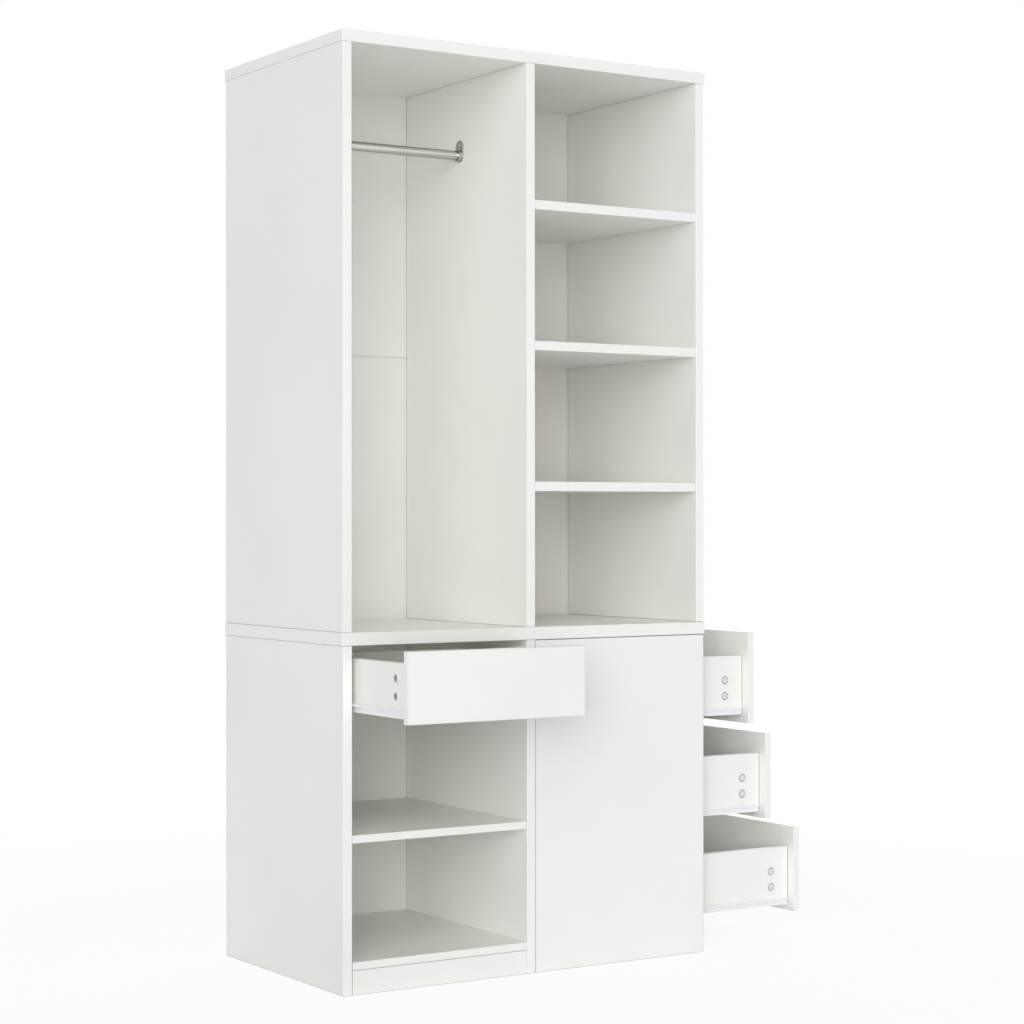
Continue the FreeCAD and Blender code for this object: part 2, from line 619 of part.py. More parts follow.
def make_drawer_back_and_bottom(drawer):
    inner_x = f"({drawer.overhang} + drawer_t)"
    sheet_z = f"({drawer.rise} + bottom_rise)"
    at = (inner_x, f"(front_t + {drawer.length} - drawer_t)", f"({sheet_z} + bottom_t)")
    inner_w = f"({drawer.front_w} - 2 * {inner_x})"
    size = (inner_w, "drawer_t", f"({drawer.side_h} - bottom_rise - bottom_t)")
    board(f"{drawer.name}_back", at, size, frame=drawer.shown)
    tongue = "(bottom_groove - groove_play)"
    at = (f"({inner_x} - {tongue})", f"(front_t - {tongue})", sheet_z)
    size = (f"({inner_w} + 2 * {tongue})", f"({drawer.length} + {tongue})", "bottom_t")
    board(f"{drawer.name}_bottom", at, size, eased=False, frame=drawer.shown)


def new_cam():
    """A cam lock along +X. Its bevelled rim stands proud of X = 0 and has a cross recess in its face."""
    cam = new_body("cam_lock")
    round_feature(cam, "AdditiveCylinder", ("0", "0", "0"), "X", "cam_t", ["cam_r"])
    rim = ("(0 - cam_rim_t)", "0", "0")
    round_feature(cam, "AdditiveCone", rim, "X", "cam_rim_t", ["cam_r", "cam_rim_r"])
    for wide, tall in (("cam_slot_len", "cam_slot_w"), ("cam_slot_w", "cam_slot_len")):
        sketch = new_sketch(cam, "YZ_Plane", "(0 - cam_rim_t)")
        draw_box(sketch, f"(0 - {wide} / 2)", f"(0 - {tall} / 2)", wide, tall)
        pocket(cam, sketch, "cam_slot_d")
    return cam


def make_drawer_cams(drawer, cam):
    copies = []
    for step in range(2):
        y = "(front_t + cam_back)"
        z = f"({drawer.rise} + cam_rise + {step} * cam_pitch)"
        copies.append(link(cam, drawer.shown, (drawer.overhang, y, z)))
        far_x = f"({drawer.front_w} - {drawer.overhang})"
        copies.append(link(cam, drawer.shown, (far_x, y, z), TURN_BACK))
    group(f"{drawer.name}_cam_locks", copies)


# Screws of the tracks.

def track_screw_rows(length):
    return ["track_screw_end", f"({length} - track_screw_end)"]


def track_screws(drawer):
    """For each screw of a track, its distance in from the closed front and its height from the floor."""
    up = f"({drawer.closed.at[2]} + {runner_z(drawer)} + {TRACK_H} / 2)"
    return [(f"(front_t + track_setback + {row})", up) for row in track_screw_rows(drawer.length)]


# Roller runners. Places across a runner are measured out from the box side, heights from the track's foot.

def across(hand, out):
    """A place across a runner, in a runner body's own X, on the left or the right of a drawer."""
    return f"(runner_w - {out})" if hand == "left" else f"(slide_foot + {out})"


def runner_x(drawer, hand):
    """Where a runner body's own origin lies across the drawer."""
    if hand == "left":
        return f"({drawer.overhang} - runner_w)"
    return f"({drawer.front_w} - {drawer.overhang} - slide_foot)"


def runner_z(drawer):
    return f"({drawer.rise} - slide_rise)"


def low_across(hand, near, far):
    """Where a stretch between two distances out from the box side starts in a runner body's own X."""
    return across(hand, far if hand == "left" else near)


def profile_bar(body, hand, points, length):
    sketch = new_sketch(body, "XZ_Plane")
    draw_outline(sketch, [(across(hand, out), up) for out, up in points])
    pad(body, sketch, length, reverse=True)


def axle_piece(body, hand, out, end, up, length, radius):
    """A round piece of an axle, from one distance out from the box to a greater one."""
    at = (low_across(hand, out, f"({out} + {length})"), end, up)
    round_feature(body, "AdditiveCylinder", at, "X", length, [radius])


FRONT_AXLE_Z = f"({SLIDE_TOP} - steel_t - roller_play - roller_r)"
REAR_AXLE_Z = "(steel_t + roller_play + roller_r)"


def new_track(label, hand, length):
    """The carcass half of a runner: a lipped channel with a roller at its front end."""
    track = new_body(label)
    web = "(runner_w - steel_t)"
    profile_bar(track, hand, [
        ("track_in", "0"),
        ("runner_w", "0"),
        ("runner_w", TRACK_H),
        ("track_top_in", TRACK_H),
        ("track_top_in", f"({TRACK_H} - steel_t)"),
        (web, f"({TRACK_H} - steel_t)"),
        (web, "steel_t"),
        ("(track_in + steel_t)", "steel_t"),
        ("(track_in + steel_t)", "track_lip_h"),
        ("track_in", "track_lip_h"),
    ], length)
    at = (low_across(hand, "track_top_in", web), "0", f"({TRACK_H} - steel_t)")
    notch = "(roller_end + roller_r + notch_past)"
    cut_box(track, at, (f"({web} - track_top_in)", notch, "steel_t"))
    shoulder = f"(front_roller_in + {ROLLER_T} + roller_play)"
    axle_piece(track, hand, shoulder, "roller_end", FRONT_AXLE_Z, f"({web} - {shoulder})", "axle_head_r")
    head = "(front_roller_in - roller_play - axle_head_t)"
    axle_piece(track, hand, head, "roller_end", FRONT_AXLE_Z, f"({shoulder} - {head})", "axle_r")
    axle_piece(track, hand, head, "roller_end", FRONT_AXLE_Z, "axle_head_t", "axle_head_r")
    countersink = COUNTERSINK if hand == "left" else COUNTERSINK[::-1]
    for y in track_screw_rows(length):
        at = (low_across(hand, web, "runner_w"), y, f"({TRACK_H} / 2)")
        cut_bore(track, at, "X", "steel_t", SCREW_BORE_R)
        at = (low_across(hand, web, f"({web} + {HEAD_H})"), y, f"({TRACK_H} / 2)")
        round_feature(track, "SubtractiveCone", at, "X", HEAD_H, countersink)
    return track


def new_slide(label, hand, length):
    """The drawer half of a runner: a steel strip hooked under the box side, its axle at the rear."""
    slide = new_body(label)
    under = f"({SLIDE_TOP} - steel_t)"
    foot = "(slide_rise - steel_t)"
    profile_bar(slide, hand, [
        ("(0 - slide_foot)", foot),
        ("steel_t", foot),
        ("steel_t", under),
        (f"({SLIDE_W} - steel_t)", under),
        (f"({SLIDE_W} - steel_t)", f"({under} - slide_lip)"),
        (SLIDE_W, f"({under} - slide_lip)"),
        (SLIDE_W, SLIDE_TOP),
        ("0", SLIDE_TOP),
        ("0", "slide_rise"),
        ("(0 - slide_foot)", "slide_rise"),
    ], length)
    end = f"({length} - roller_end)"
    shoulder = "(rear_roller_in - roller_play)"
    axle_piece(slide, hand, "steel_t", end, REAR_AXLE_Z, f"({shoulder} - steel_t)", "axle_head_r")
    head = f"(rear_roller_in + {ROLLER_T} + roller_play)"
    axle_piece(slide, hand, shoulder, end, REAR_AXLE_Z, f"({head} - {shoulder})", "axle_r")
    axle_piece(slide, hand, head, end, REAR_AXLE_Z, "axle_head_t", "axle_head_r")
    return slide


def new_roller():
    """A nylon roller along +X from X = 0, with a sunk ring in each face between its hub and its rim."""
    roller = new_body("runner_roller")
    round_feature(roller, "AdditiveCylinder", ("0", "0", "0"), "X", ROLLER_T, ["roller_r"])
    for face in ("0", f"({ROLLER_T} - roller_dish)"):
        sketch = new_sketch(roller, "YZ_Plane", face)
        draw_circle(sketch, "0", "0", "roller_rim_r")
        draw_circle(sketch, "0", "0", "roller_hub_r")
        pocket(roller, sketch, "roller_dish")
    cut_bore(roller, ("0", "0", "0"), "X", ROLLER_T, "(axle_r + axle_play)")
    return roller


def make_rollers(drawer, roller, label, frame, out, y, up):
    copies = []
    for hand in ("left", "right"):
        x = f"({runner_x(drawer, hand)} + {low_across(hand, out, f'({out} + {ROLLER_T})')})"
        copies.append(link(roller, frame, (x, y, f"({runner_z(drawer)} + {up})")))
    group(label, copies)


def make_drawer_runners(drawer, roller, screw):
    """Slides and rollers of one drawer. Returns its two tracks and their screws."""
    slides = []
    tracks = []
    screws = []
    for hand in ("left", "right"):
        x = runner_x(drawer, hand)
        z = runner_z(drawer)
        slide = new_slide(f"{drawer.name}_slide_{hand}", hand, drawer.length)
        slides.append(place(slide, drawer.shown, (x, "(front_t + slide_setback)", z)))
        track = new_track(f"{drawer.name}_track_{hand}", hand, drawer.length)
        track_y = "(front_t + track_setback)"
        tracks.append(place(track, drawer.closed, (x, track_y, z)))
        web_x = f"({x} + {across(hand, '(runner_w - steel_t)')})"
        turn = FreeCAD.Rotation() if hand == "left" else TURN_BACK
        for row in track_screw_rows(drawer.length):
            at = (web_x, f"({track_y} + {row})", f"({z} + {TRACK_H} / 2)")
            screws.append(link(screw, drawer.closed, at, turn))
    group(f"{drawer.name}_slides", slides)
    front_y = "(front_t + track_setback + roller_end)"
    rear_y = f"(front_t + slide_setback + {drawer.length} - roller_end)"
    make_rollers(drawer, roller, f"{drawer.name}_front_rollers", drawer.closed,
                 "front_roller_in", front_y, FRONT_AXLE_Z)
    make_rollers(drawer, roller, f"{drawer.name}_rear_rollers", drawer.shown,
                 "rear_roller_in", rear_y, REAR_AXLE_Z)
    return tracks, screws


def make_packers(drawer):
    """Strips that pack the side drawers' tracks off the end panels."""
    strips = []
    at_y = "(front_t + track_setback)"
    for hand, x in (("left", "(0 - reveal)"), ("right", f"({drawer.front_w} + reveal - packer_t)")):
        strip = new_board(f"{drawer.name}_packer_{hand}", ("packer_t", drawer.length, TRACK_H))
        for row in track_screw_rows(drawer.length):
            cut_bore(strip, ("0", row, f"({TRACK_H} / 2)"), "X", "packer_t", SCREW_BORE_R)
        strips.append(place(strip, drawer.closed, (x, at_y, runner_z(drawer))))
    return strips


drawers = [front_drawer()] + side_drawers()
make_panels()
make_upper_carcass()
make_lower_carcass(drawers)
make_back_sheets()
make_dowels()
make_rail()
screw = new_screw()
screws = make_rail_sockets(screw)
cam = new_cam()
roller = new_roller()
side_tracks = []
side_packers = []
for drawer in drawers:
    make_drawer_front(drawer)
    make_drawer_sides(drawer)
    make_drawer_back_and_bottom(drawer)
    make_drawer_cams(drawer, cam)
    tracks, track_screw_copies = make_drawer_runners(drawer, roller, screw)
    screws += track_screw_copies
    if drawer.closed.turned:
        side_tracks += tracks
        side_packers += make_packers(drawer)
    else:
        group("front_bay_tracks", tracks)
group("side_bay_tracks", side_tracks)
group("track_packers", side_packers)
group("mounting_screws", screws)

doc.recompute()
for obj in doc.Objects:
    if "Invalid" in obj.State or "Error" in obj.State:
        raise RuntimeError(f"{obj.Label} did not recompute: {obj.State}")
os.makedirs("parts", exist_ok=True)
for node in nodes:
    shape = node.Shape
    if shape.isNull() or not shape.isValid():
        raise RuntimeError(f"{node.Label} has no valid shape")
for node in nodes:
    node.Shape.exportStep(f"parts/{node.Label}.step")
print(f"{len(nodes)} parts written")
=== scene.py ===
import bpy
import math
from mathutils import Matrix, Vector


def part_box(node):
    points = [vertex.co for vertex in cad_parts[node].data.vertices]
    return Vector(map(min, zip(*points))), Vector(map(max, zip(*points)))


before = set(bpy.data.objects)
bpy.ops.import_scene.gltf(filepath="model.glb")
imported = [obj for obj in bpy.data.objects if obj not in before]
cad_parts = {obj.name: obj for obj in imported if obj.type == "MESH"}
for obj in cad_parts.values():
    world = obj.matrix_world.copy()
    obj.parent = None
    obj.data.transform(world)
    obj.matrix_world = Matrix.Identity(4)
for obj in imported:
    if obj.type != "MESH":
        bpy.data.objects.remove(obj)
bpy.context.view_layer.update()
scene = bpy.context.scene
MM = 0.001

# Camera: a long lens level with the middle of the wardrobe, in front of it and to its left.
IMAGE_PX = 1024
FOCAL_PX = 2373.4
SENSOR_MM = 36
CAMERA_AT = (-2.5389, -4.1276, 0.8957)
CAMERA_DEGREES = (90.063, 0.038, -32.716)
camera_data = bpy.data.cameras.new("photo_camera")
camera_data.sensor_width = SENSOR_MM
camera_data.lens = FOCAL_PX * SENSOR_MM / IMAGE_PX
camera = bpy.data.objects.new("photo_camera", camera_data)
camera.location = CAMERA_AT
camera.rotation_euler = [math.radians(degrees) for degrees in CAMERA_DEGREES]
scene.collection.objects.link(camera)
scene.camera = camera


# Colours are sRGB hex values, and sizes on the surfaces are real millimetres.

def linear(hex_colour):
    """An sRGB hex colour as the linear RGBA that the shaders use."""
    parts = [int(hex_colour[start:start + 2], 16) / 255 for start in (1, 3, 5)]
    return [part / 12.92 if part <= 0.04045 else ((part + 0.055) / 1.055) ** 2.4 for part in parts] + [1]


def add_node(tree, kind, inputs=None, **settings):
    """Add a node with its settings. Each input is a value, or another node's output to link to it."""
    node = tree.nodes.new(kind)
    for name, value in settings.items():
        setattr(node, name, value)
    for socket, value in (inputs or {}).items():
        if isinstance(value, bpy.types.NodeSocket):
            tree.links.new(value, node.inputs[socket])
        else:
            node.inputs[socket].default_value = value
    return node


def new_material(name, metallic=0.0, ior=1.5):
    """A material with its shader, its output and the object's own coordinates in millimetres."""
    material = bpy.data.materials.new(name)
    material.use_nodes = True
    tree = material.node_tree
    tree.nodes.clear()
    shader = add_node(tree, "ShaderNodeBsdfPrincipled", {"Metallic": metallic, "IOR": ior})
    add_node(tree, "ShaderNodeOutputMaterial", {"Surface": shader.outputs["BSDF"]})
    metres = add_node(tree, "ShaderNodeTexCoord").outputs["Object"]
    place = add_node(tree, "ShaderNodeVectorMath", {0: metres, "Scale": 1 / MM}, operation="SCALE")
    return material, tree, shader, place.outputs["Vector"]


def add_grain(tree, place, size_mm, detail=2.0):
    """Noise whose blobs are about one size, given along X, Y and Z. Most of it lies between 0.3 and 0.7."""
    fitted = add_node(tree, "ShaderNodeMapping", {"Vector": place, "Scale": [1 / size for size in size_mm]})
    noise = add_node(tree, "ShaderNodeTexNoise", {
        "Vector": fitted.outputs["Vector"], "Scale": 1.0, "Detail": detail})
    return noise.outputs["Fac"]


GRAIN_LOW, GRAIN_HIGH = 0.3, 0.7
CLOUD_LOW, CLOUD_HIGH = 0.35, 0.65

# The sockets of a Mix node that take its two colours, and the one that gives the result.
FIRST_COLOUR, SECOND_COLOUR, MIXED_COLOUR = 6, 7, 2


def blend(tree, value, start, end, first, second):
    """The first colour up to one value and the second from another on. Each is hex or a node's output."""
    share = add_node(tree, "ShaderNodeMapRange", {"Value": value, "From Min": start, "From Max": end},
                     interpolation_type="SMOOTHSTEP")
    colours = [linear(colour) if isinstance(colour, str) else colour for colour in (first, second)]
    mixed = add_node(tree, "ShaderNodeMix", {
        "Factor": share.outputs["Result"], FIRST_COLOUR: colours[0], SECOND_COLOUR: colours[1]},
        data_type="RGBA")
    return mixed.outputs[MIXED_COLOUR]


def finish(tree, shader, colour, grain, roughness, relief):
    """Give the shader its colour, and let a grain vary its roughness, from low to high, and raise a relief
    of some depth in millimetres and some strength."""
    low, high = roughness
    depth_mm, strength = relief
    rough = add_node(tree, "ShaderNodeMapRange", {
        "Value": grain, "From Min": GRAIN_LOW, "From Max": GRAIN_HIGH, "To Min": low, "To Max": high},
        interpolation_type="SMOOTHSTEP")
    bump = add_node(tree, "ShaderNodeBump", {
        "Height": grain, "Strength": strength, "Distance": depth_mm * MM})
    tree.links.new(colour, shader.inputs["Base Color"])
    tree.links.new(rough.outputs["Result"], shader.inputs["Roughness"])
    tree.links.new(bump.outputs["Normal"], shader.inputs["Normal"])


AXES = "XYZ"
FAR_MM = 10000.0


def face_levels(name, faces):
    """Where some flat ends of a node's box lie, from words such as "X- Z+"."""
    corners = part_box(name)
    return [(face[0], corners[face[1] == "+"][AXES.index(face[0])] / MM) for face in faces.split()]


def add_distance(tree, value, level):
    """How far a value is from a level, above or below it."""
    offset = add_node(tree, "ShaderNodeMath", {0: value, 1: level}, operation="SUBTRACT").outputs["Value"]
    return add_node(tree, "ShaderNodeMath", {0: offset}, operation="ABSOLUTE").outputs["Value"]


def add_face_distance(tree, place, levels):
    """How far a point is from the nearest of some flat faces."""
    parts = add_node(tree, "ShaderNodeSeparateXYZ", {"Vector": place}).outputs
    nearest = FAR_MM
    for axis, level in levels:
        away = add_distance(tree, parts[axis], level)
        lesser = add_node(tree, "ShaderNodeMath", {0: nearest, 1: away}, operation="MINIMUM")
        nearest = lesser.outputs["Value"]
    return nearest


# Melamine-faced chipboard: white paper pressed against a plate with a fine pearl grain, which breaks up
# the highlights. The real pearl is under 1 mm and would not show, so it is drawn at 2.6 mm.
# Taped edges show a lighter 1 mm tape and, along its border, the thin grey line of its glue.
# Where a sawn end meets another board, a thin dark line is drawn on its faces: partly the raw chip of the
# end, partly painted shade in the joint. At the drawer sides' ends it is a broader band of painted shade in
# the same tone, where they meet their front and back. Under the top panel the joints are tight, and the
# upper uprights get only a fine line of painted shade. Over the front end panel, a dark band of painted
# shadow stands in for the gap under the middle panel.
# Each line is given by the distance to which it is full, the one where it is gone, and its colour.
FACE_LOW, FACE_HIGH = "#F9F7F0", "#FBFAF4"
BOARD_CLOUD_MM = (260, 260, 260)
PEARL_MM = (2.6, 2.6, 2.6)
TAPE_MM = 1.0
TAPE = (0.9, 1.1, "#FBFAF4")
GLUE = (0.175, 0.35, "#DAD8D0")
# Partly raw chip, partly painted shade in the joint.
RAW_END_AND_SHADE = (0.8, 1.0, "#ACA698")
# Painted shade where the drawer sides meet their front and back.
DRAWER_SIDE_END_SHADE = (2.0, 2.2, "#ACA698")
# Painted shade: a fine line along the top of the upper uprights, under the top panel.
TIGHT_JOINT_SHADE = (0.35, 0.55, "#D0CCC2")
# Painted shadow of the gap between the front end panel and the middle panel.
GAP_SHADOW_BAND = (1.7, 1.9, "#77736A")


def make_melamine(name, taped, lines):
    material, tree, shader, place = new_material(f"melamine_{name}")
    cloud = add_grain(tree, place, BOARD_CLOUD_MM, detail=3.0)
    colour = blend(tree, cloud, CLOUD_LOW, CLOUD_HIGH, FACE_LOW, FACE_HIGH)
    if taped:
        edge = add_face_distance(tree, place, face_levels(name, taped))
        colour = blend(tree, edge, *TAPE, colour)
        colour = blend(tree, add_distance(tree, edge, TAPE_MM), *GLUE, colour)
    for faces, line in lines:
        colour = blend(tree, add_face_distance(tree, place, face_levels(name, faces)), *line, colour)
    pearl = add_grain(tree, place, PEARL_MM)
    finish(tree, shader, colour, pearl, roughness=(0.38, 0.46), relief=(0.05, 0.25))
    return material


# Hardboard with a rolled white lacquer: a long faint roller pattern and a dull sheen.
# Where two sheets meet, their sawn edges show as a thin line, and where a sheet enters the groove of a
# board, a thin grey line of painted shade marks the corner.
LACQUER_LOW, LACQUER_HIGH = "#F6F4EC", "#F9F8F1"
SHEET_CLOUD_MM = (300, 300, 300)
ROLLER_MM = (2.0, 2.0, 14.0)
SAWN_SEAM = (0.5, 0.6, "#CFCBC0")
# Painted shade in the corner where a sheet enters a groove.
GROOVE_SHADE_LINE = (0.9, 1.3, "#DCDAD3")


def make_hardboard(name, sawn, grooved):
    material, tree, shader, place = new_material(f"lacquered_hardboard_{name}")
    cloud = add_grain(tree, place, SHEET_CLOUD_MM, detail=3.0)
    colour = blend(tree, cloud, CLOUD_LOW, CLOUD_HIGH, LACQUER_LOW, LACQUER_HIGH)
    # Painted shade along the corners where the sheet enters the boards' grooves.
    if grooved:
        levels = [level for board, faces in grooved for level in face_levels(board, faces)]
        colour = blend(tree, add_face_distance(tree, place, levels), *GROOVE_SHADE_LINE, colour)
    if sawn:
        colour = blend(tree, add_face_distance(tree, place, face_levels(name, sawn)), *SAWN_SEAM, colour)
    rolled = add_grain(tree, place, ROLLER_MM)
    finish(tree, shader, colour, rolled, roughness=(0.46, 0.56), relief=(0.06, 0.3))
    return material


def make_brushed_tube():
    """Stainless tube brushed along its length: long streaks, some bright and some dull, that break up the
    reflection of the room, and a darker tone along its outlines, where the steel is seen at a slant.
    The real streaks are under 0.1 mm, so they are drawn at 3 mm."""
    material, tree, shader, place = new_material("brushed_stainless", metallic=1.0)
    shader.inputs["Specular Tint"].default_value = linear("#3C3A36")
    streaks = add_grain(tree, place, (400, 3, 3), detail=3.0)
    colour = blend(tree, streaks, 0.36, 0.62, "#B0AEAA", "#E4E2DE")
    finish(tree, shader, colour, streaks, roughness=(0.12, 0.2), relief=(0.02, 0.4))
    return material


def make_plate(name, low, high, roughness, grain_mm):
    """Plated metal with the fine grain of what lies under it, which softens its shine."""
    material, tree, shader, place = new_material(name, metallic=1.0)
    grain = add_grain(tree, place, (grain_mm, grain_mm, grain_mm))
    colour = blend(tree, grain, GRAIN_LOW, GRAIN_HIGH, low, high)
    finish(tree, shader, colour, grain, roughness, relief=(0.03, 0.3))
    return material


# The cams' faces end and their rims begin between these two radii, in millimetres.
# The front drawer's cams sit in shade, and get a dark face of painted shade in a pale rim; the side
# drawers' get a pale face in a grey rim of painted shade, where the cam meets its bore.
CAM_FACE_END, CAM_RIM_START = 6.1, 6.4
# Pale face, with a grey rim of painted shade.
PALE_CAM = ("#DCDDDC", "#E8E8E6", "#A1A2A3")
CAMS = {
    # A dark face of painted shade in a pale rim.
    "front_drawer": ("#989A9A", "#A6A8A7", "#D6D7D6"),
    "side_drawer_low": PALE_CAM,
    "side_drawer_mid": PALE_CAM,
    "side_drawer_top": PALE_CAM,
}


def make_cam_zinc(name, face_low, face_high, rim_colour):
    """Zinc die casting, tumbled: a matt face and a rim where it seats in its bore, toned with painted
    shade.
    """
    material, tree, shader, place = new_material(f"zinc_die_casting_{name}", metallic=1.0)
    corners = list(zip(*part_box(name)))
    middle = [(start + end) / 2 / MM for start, end in corners]
    half = [(end - start) / 2 / MM for start, end in corners]
    # On each side two cams sit one over the other, and they are round across the box's shorter level side.
    across = min((0, 1), key=lambda axis: half[axis])
    flatten = [float(axis in (across, 2)) for axis in range(3)]
    to_nearest = (0.0, 0.0, half[across] - half[2])
    offset = add_node(tree, "ShaderNodeVectorMath", {0: place, 1: middle}, operation="SUBTRACT")
    folded = add_node(tree, "ShaderNodeVectorMath", {0: offset.outputs["Vector"]}, operation="ABSOLUTE")
    spot = add_node(tree, "ShaderNodeVectorMath", {
        0: folded.outputs["Vector"], 1: flatten, 2: to_nearest}, operation="MULTIPLY_ADD")
    radius = add_node(tree, "ShaderNodeVectorMath", {0: spot.outputs["Vector"]}, operation="LENGTH")
    grain = add_grain(tree, place, (1.2, 1.2, 1.2))
    face = blend(tree, grain, GRAIN_LOW, GRAIN_HIGH, face_low, face_high)
    # Face and rim tones, which carry painted shade, meet between the two radii.
    colour = blend(tree, radius.outputs["Value"], CAM_FACE_END, CAM_RIM_START, face, rim_colour)
    finish(tree, shader, colour, grain, roughness=(0.5, 0.62), relief=(0.03, 0.4))
    return material


def make_powder_coat():
    """Steel strip with a white powder coat: a soft gloss over a fine orange peel."""
    material, tree, shader, place = new_material("white_powder_coat")
    colour = blend(tree, add_grain(tree, place, (40, 40, 40)), 0.0, 1.0, "#FBFBF9", "#FDFDFB")
    peel = add_grain(tree, place, (1.5, 1.5, 1.5))
    finish(tree, shader, colour, peel, roughness=(0.28, 0.36), relief=(0.03, 0.3))
    return material


def make_nylon():
    """Moulded nylon: milky white, a little softer than the steel, with faint flow marks."""
    material, tree, shader, place = new_material("moulded_nylon", ior=1.53)
    flow = add_grain(tree, place, (3, 3, 3))
    colour = blend(tree, flow, 0.0, 1.0, "#E6E4DC", "#F0EEE7")
    finish(tree, shader, colour, flow, roughness=(0.4, 0.52), relief=(0.02, 0.2))
    return material


def make_beech():
    """Turned beech: pink-brown with short darker pores along the dowel."""
    material, tree, shader, place = new_material("turned_beech")
    pores = add_grain(tree, place, (6.0, 0.6, 0.6), detail=3.0)
    colour = blend(tree, pores, 0.4, 0.7, "#DDB98F", "#B98A5E")
    finish(tree, shader, colour, pores, roughness=(0.56, 0.64), relief=(0.05, 0.4))
    return material


def dress(name, material):
    """Put one material on the whole of a node."""
    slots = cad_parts[name].data.materials
    slots.clear()
    slots.append(material)


# Boards: the end faces of each that carry edge tape, and its sawn ends that meet another board.
BOARDS = {
    "top_panel": ("Y- X- X+", ""),
    "middle_panel": ("Y- X- X+", ""),
    "left_side_upper": ("Y-", "Z-"),
    "right_side_upper": ("Y-", "Z-"),
    "divider_upper": ("Y-", "Z-"),
    "upper_shelf_1": ("Y-", "X- X+"),
    "upper_shelf_2": ("Y-", "X- X+"),
    "upper_shelf_3": ("Y-", "X- X+"),
    "left_side_lower": ("Y-", "Z- Z+"),
    "divider_lower": ("Y-", "Z- Z+"),
    "end_panel_front": ("X+", "X- Z-"),
    "end_panel_rear": ("X+", "X- Z- Z+"),
    "bottom_board_left": ("Y-", "X- X+"),
    "bottom_board_right": ("", "X- X+ Y- Y+"),
    "plinth_front": ("", "X- X+ Z- Z+"),
    "plinth_side": ("", "Y- Y+ Z- Z+"),
    "lower_shelf": ("Y-", "X- X+"),
    "track_packers": ("", "X- X+"),
    "front_drawer_front": ("X- X+ Z- Z+", ""),
    "front_drawer_back": ("Z+", "X- X+"),
}
UPPER_UPRIGHTS = {"left_side_upper": "X+", "divider_upper": "X- X+", "right_side_upper": "X-"}
LOWER_UPRIGHTS = {"left_side_lower": "X+", "divider_lower": "X-"}
SIDE_DRAWERS = ("side_drawer_low", "side_drawer_mid", "side_drawer_top")
for drawer in SIDE_DRAWERS:
    BOARDS[f"{drawer}_front"] = ("Y- Y+ Z- Z+", "")
    BOARDS[f"{drawer}_back"] = ("Z+", "Y- Y+")
for name, (taped, sawn) in BOARDS.items():
    # Sawn ends get a dark line, partly raw chip and partly painted shade in the joint.
    lines = [(sawn, RAW_END_AND_SHADE)] if sawn else []
    # The upper uprights get a fine line of painted shade under the top panel.
    if name in UPPER_UPRIGHTS:
        lines.append(("Z+", TIGHT_JOINT_SHADE))
    # Painted shadow of the gap under the middle panel, on top of the front end panel.
    if name == "end_panel_front":
        lines.append(("Z+", GAP_SHADOW_BAND))
    dress(name, make_melamine(name, taped, lines))
for drawer in CAMS:
    ends = "Y- Y+" if drawer == "front_drawer" else "X- X+"
    sides = f"{drawer}_sides"
    # Painted shade where the drawer sides' ends meet their front and back.
    dress(sides, make_melamine(sides, "Z+", [(ends, DRAWER_SIDE_END_SHADE)]))

# Sheets: the sawn edge of each that shows, and the boards' faces where it enters their grooves.
SHEETS = {
    "back_sheet_lower": ("", LOWER_UPRIGHTS),
    "back_sheet_middle": ("Z+", UPPER_UPRIGHTS),
    "back_sheet_top": ("Z-", UPPER_UPRIGHTS),
}
for name, (sawn, uprights) in SHEETS.items():
    dress(name, make_hardboard(name, sawn, uprights.items()))

powder_coat = make_powder_coat()
nylon = make_nylon()
for drawer, tones in CAMS.items():
    dress(f"{drawer}_bottom", make_hardboard(f"{drawer}_bottom", "", ()))
    dress(f"{drawer}_slides", powder_coat)
    dress(f"{drawer}_cam_locks", make_cam_zinc(f"{drawer}_cam_locks", *tones))
    dress(f"{drawer}_front_rollers", nylon)
    dress(f"{drawer}_rear_rollers", nylon)
dress("front_bay_tracks", powder_coat)
dress("side_bay_tracks", powder_coat)
# Nickel plate over a casting: warm and a little dull, so that its edges catch only soft glints.
dress("rail_sockets", make_plate("satin_nickel_plate", "#B2B0A9", "#C9C7C0", (0.3, 0.4), 1.2))
# Bright zinc plate on turned screws: paler than the nickel round it.
dress("mounting_screws", make_plate("bright_zinc_plate", "#DDDEDF", "#ECEDEE", (0.24, 0.34), 0.8))
dress("hanging_rail", make_brushed_tube())
dress("shelf_dowels", make_beech())

# Floor and light.
# The lamps and the room are a little blue, so that the warm white boards look neutral in them.
DAYLIGHT = (0.943, 0.96, 1.0)
ROOM = 0.232
WHITE = [1, 1, 1, 1]


def seen_ray(tree):
    """1 for the rays that show the background: to the camera, and by way of metal or gloss."""
    rays = add_node(tree, "ShaderNodeLightPath").outputs
    return add_node(tree, "ShaderNodeMath", {
        0: rays["Is Camera Ray"], 1: rays["Is Glossy Ray"]}, operation="MAXIMUM").outputs["Value"]


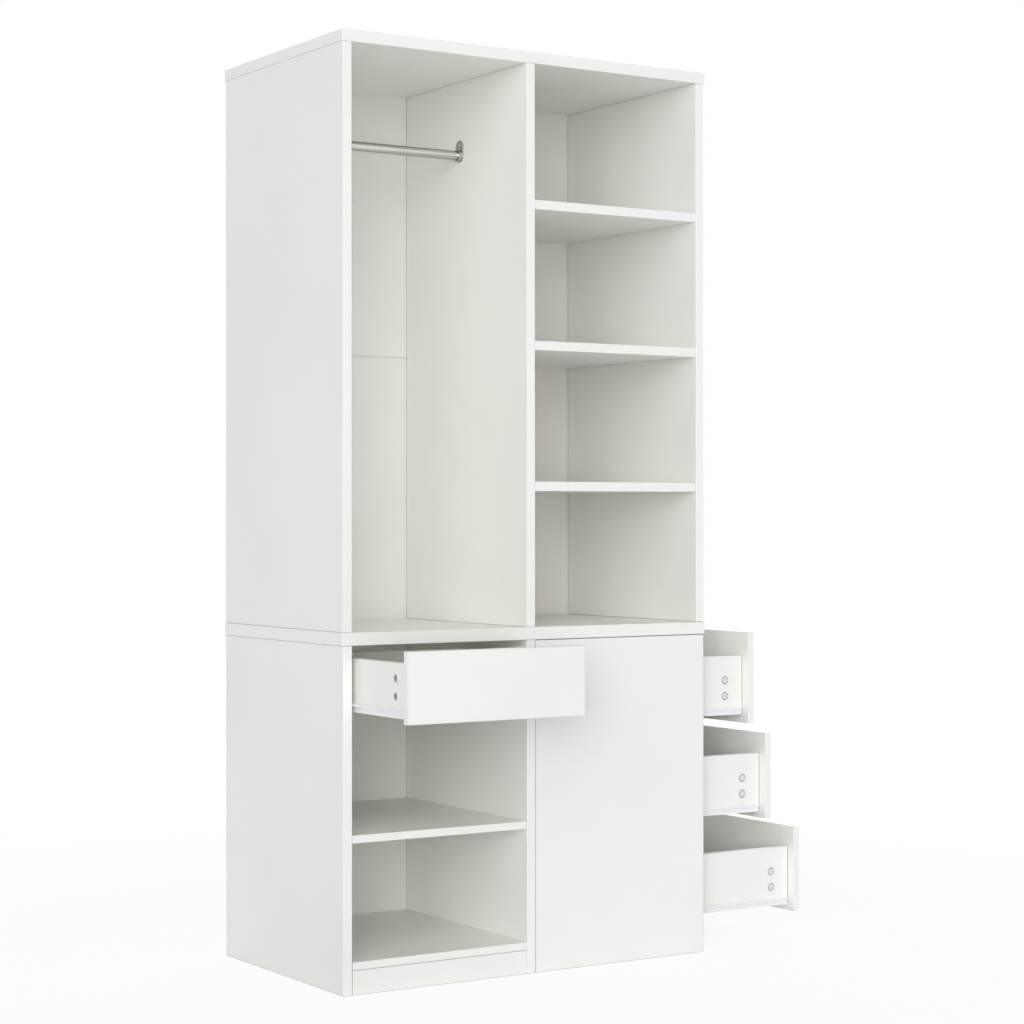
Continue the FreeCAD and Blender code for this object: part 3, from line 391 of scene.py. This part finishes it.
# The floor glows nearly white close to the wardrobe, where a faint shadow is left, and white farther out.
FLOOR_HALF = 12.0
NEARLY_WHITE = 0.92
SHADOW_TO, WHITE_FROM = 0.9, 2.2
bpy.ops.object.select_all(action="DESELECT")
bpy.ops.mesh.primitive_plane_add(size=2 * FLOOR_HALF, location=(0, 0, 0))
floor = bpy.context.object
floor.name = "studio_floor"
material = bpy.data.materials.new("pale_floor")
material.use_nodes = True
tree = material.node_tree
tree.nodes.clear()
place = add_node(tree, "ShaderNodeTexCoord").outputs["Object"]
away = add_node(tree, "ShaderNodeVectorMath", {0: place}, operation="LENGTH").outputs["Value"]
glow = add_node(tree, "ShaderNodeMapRange", {
    "Value": away, "From Min": SHADOW_TO, "From Max": WHITE_FROM, "To Min": NEARLY_WHITE, "To Max": 1.0},
    interpolation_type="SMOOTHSTEP").outputs["Result"]
seen = seen_ray(tree)
share = add_node(tree, "ShaderNodeMath", {0: seen, 1: glow}, operation="MULTIPLY").outputs["Value"]
matt = add_node(tree, "ShaderNodeBsdfDiffuse", {"Color": linear("#FAFAFA")}).outputs["BSDF"]
white = add_node(tree, "ShaderNodeEmission", {"Color": WHITE, "Strength": 1.0}).outputs["Emission"]
mixed = add_node(tree, "ShaderNodeMixShader", {0: share, 1: matt, 2: white}).outputs["Shader"]
add_node(tree, "ShaderNodeOutputMaterial", {"Surface": mixed})
floor.data.materials.append(material)

world = bpy.data.worlds.new("studio")
scene.world = world
world.use_nodes = True
tree = world.node_tree
tree.nodes.clear()
room = add_node(tree, "ShaderNodeBackground", {"Color": [*DAYLIGHT, 1], "Strength": ROOM})
sweep = add_node(tree, "ShaderNodeBackground", {"Color": WHITE, "Strength": 1.0})
mixed = add_node(tree, "ShaderNodeMixShader", {
    0: seen_ray(tree), 1: room.outputs["Background"], 2: sweep.outputs["Background"]}).outputs["Shader"]
add_node(tree, "ShaderNodeOutputWorld", {"Surface": mixed})

MIDDLE = (0, 0, 0.9)


def hang_lamp(name, data, at):
    """Hang a lamp that faces the middle of the wardrobe."""
    data.color = DAYLIGHT
    lamp = bpy.data.objects.new(name, data)
    lamp.location = at
    lamp.rotation_euler = (Vector(MIDDLE) - Vector(at)).to_track_quat("-Z", "Y").to_euler()
    scene.collection.objects.link(lamp)


def add_softbox(name, at, size, power):
    """A lamp some metres wide and high, of some watts."""
    data = bpy.data.lights.new(name, "AREA")
    data.shape = "RECTANGLE"
    data.size, data.size_y = size
    data.energy = power
    hang_lamp(name, data, at)


def add_window(name, at, degrees, strength):
    """Even light from far away that arrives from a patch of sky some degrees wide."""
    data = bpy.data.lights.new(name, "SUN")
    data.angle = math.radians(degrees)
    data.energy = strength
    hang_lamp(name, data, at)


# Most of the light comes from behind the camera, from a softbox and two soft windows one above the other,
# so that the front faces and the left side are bright and the open bays fade towards the back. A low
# softbox lifts the undersides, and a skylight to the right falls on the front of each floor. A window
# behind the wardrobe and to its right keeps the back, the top and that side white and lights the insides
# of the side drawers.
add_softbox("camera_softbox", (-4.9, -6.27, 1.74), (4.0, 2.4), 69)
add_softbox("low_softbox", (-3.6, -6.2, 0.5), (4.0, 0.8), 46)
add_window("high_window", (-4.66, -5.55, 4.28), 50, 0.9)
add_window("low_window", (-5.09, -6.07, 2.01), 30, 0.5)
add_window("skylight", (1.37, -3.76, 7.83), 50, 0.28)
add_window("rear_window", (3.0, 3.4, 3.9), 60, 1.3)
scene.view_settings.view_transform = "Standard"

bpy.context.view_layer.update()
